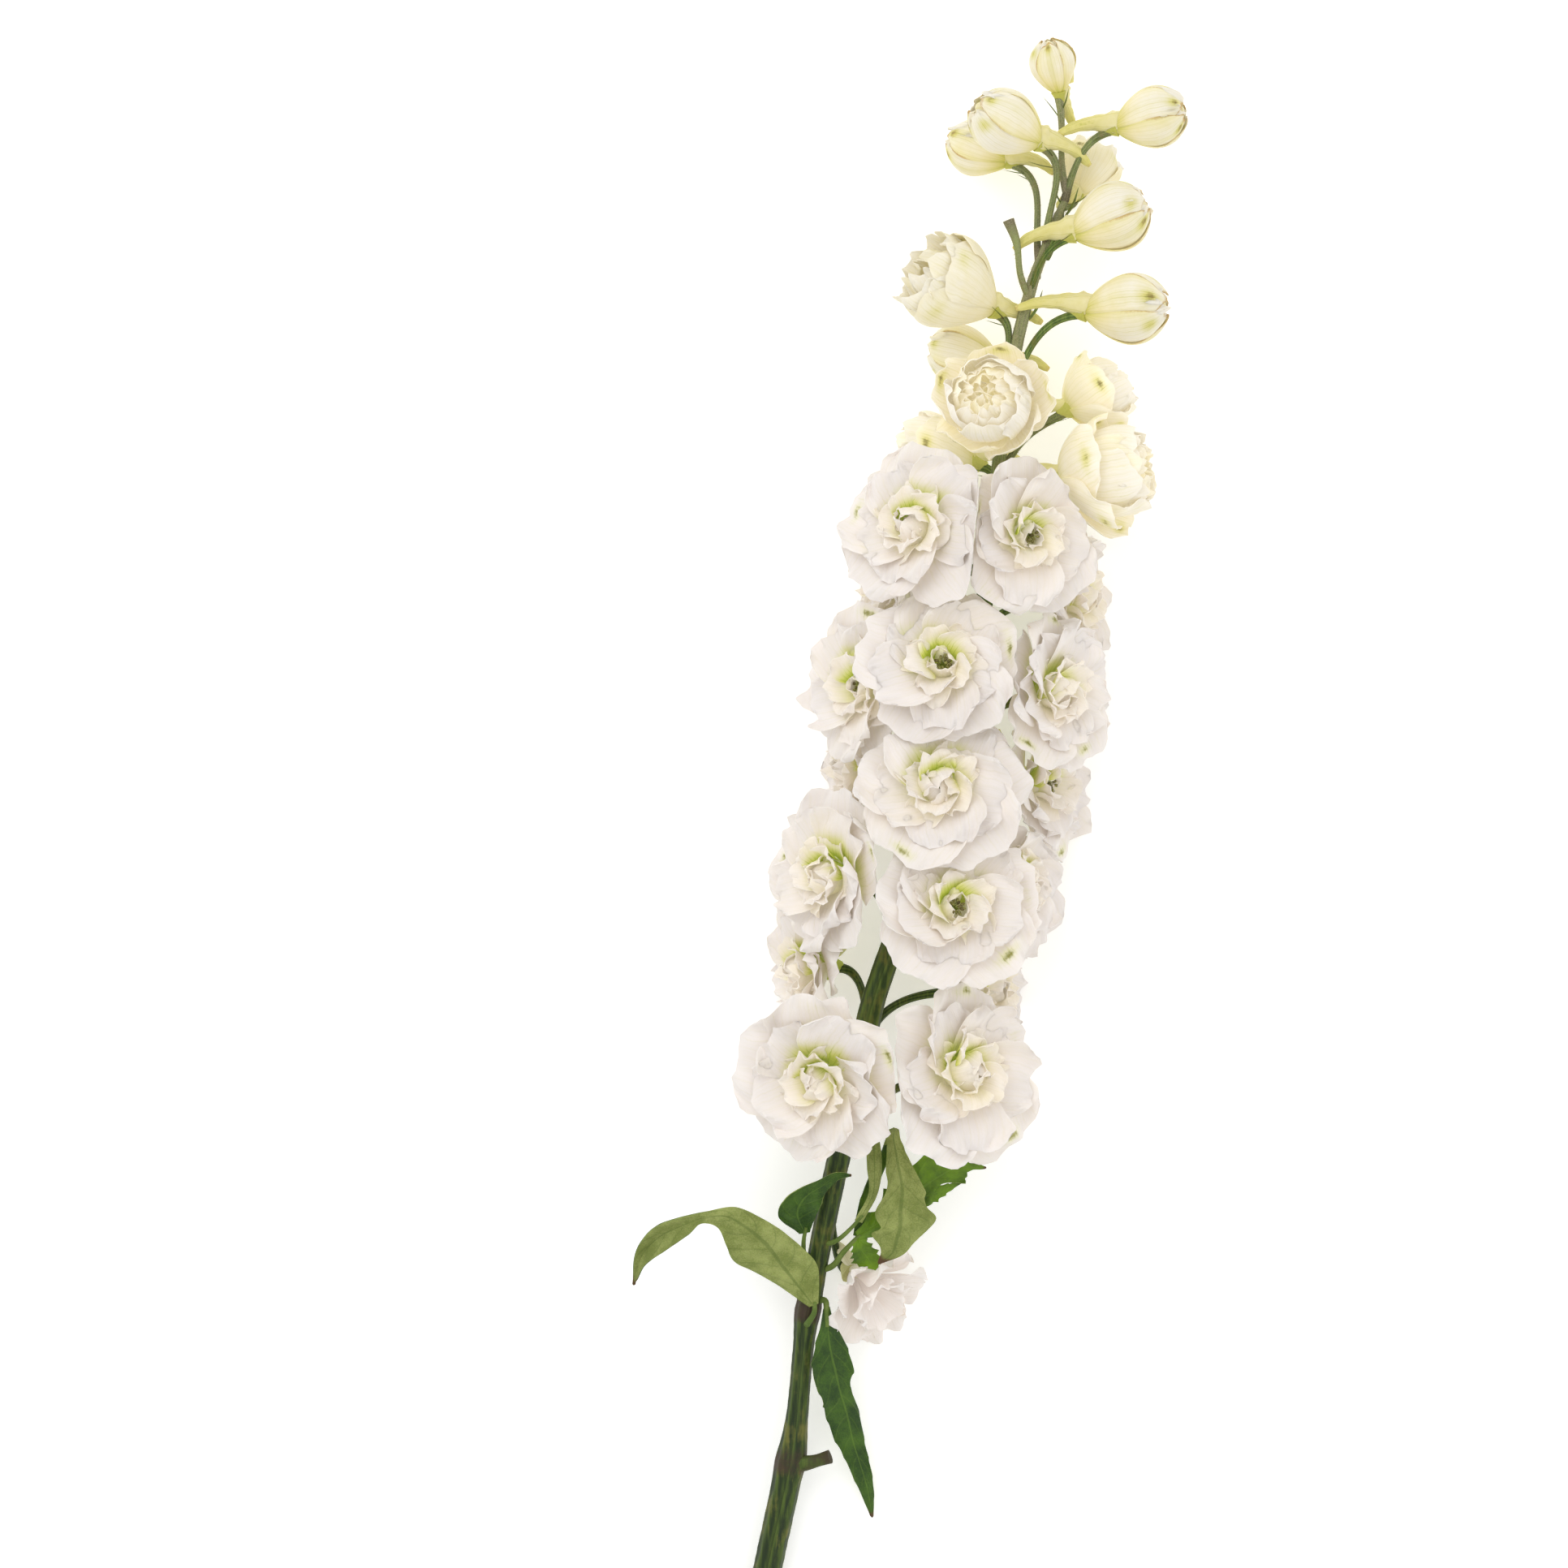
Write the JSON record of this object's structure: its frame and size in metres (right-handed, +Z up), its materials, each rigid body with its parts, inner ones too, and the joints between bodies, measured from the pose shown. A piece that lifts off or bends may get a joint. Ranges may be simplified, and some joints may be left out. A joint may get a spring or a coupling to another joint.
{
  "type": "delphinium flower spike",
  "caption": "Cut spike of white double delphinium lying on its side: buds at the tip, ruffled open florets below them, leaves low on a bare green stem.",
  "frame": {"origin": "on the surface that the spike lies on, under the middle of its bounding box", "axes": "+Y runs up the spike from the cut to its buds, +X is to the right and +Z is up from the surface"},
  "size_m": [0.178, 0.5425, 0.0729],
  "materials": {
    "stem": "ribbed green stem with dark patches, grey-brown and downy near the top",
    "leaf": "matt dark green above, pale downy green beneath",
    "bud": "matt cream to yellow-green with green veins",
    "petal": "matt warm white with fine veins",
    "stamen": "matt olive-brown"
  },
  "bodies": {
    "root": {"stem": "stem", "leaf_arched": "leaf", "leaf_hanging": "leaf", "leaf_palmate": "leaf", "leaf_curled": "leaf", "leaf_strip": "leaf", "bud_tip": "bud", "bud_upper_left": "bud", "bud_behind_left": "bud", "bud_upper_right": "bud", "bud_papery": "bud", "bud_mid_right": "bud", "bud_big_left": "bud", "bud_low_right": "bud", "bud_low_left": "bud", "half_front": "petal", "half_right": "petal", "half_right_low": "petal", "half_back": "petal", "floret_01": "petal", "stamens_01": "stamen", "floret_02": "petal", "stamens_02": "stamen", "floret_03": "petal", "stamens_03": "stamen", "floret_04": "petal", "stamens_04": "stamen", "floret_05": "petal", "stamens_05": "stamen", "floret_06": "petal", "stamens_06": "stamen", "floret_07": "petal", "stamens_07": "stamen", "floret_08": "petal", "stamens_08": "stamen", "floret_09": "petal", "stamens_09": "stamen", "floret_10": "petal", "stamens_10": "stamen", "floret_11": "petal", "stamens_11": "stamen", "floret_12": "petal", "stamens_12": "stamen", "floret_13": "petal", "stamens_13": "stamen", "floret_14": "petal", "stamens_14": "stamen", "floret_15": "petal", "stamens_15": "stamen", "floret_16": "petal", "stamens_16": "stamen", "floret_17": "petal", "stamens_17": "stamen", "floret_faded": "petal"}
  },
  "joints": []
}
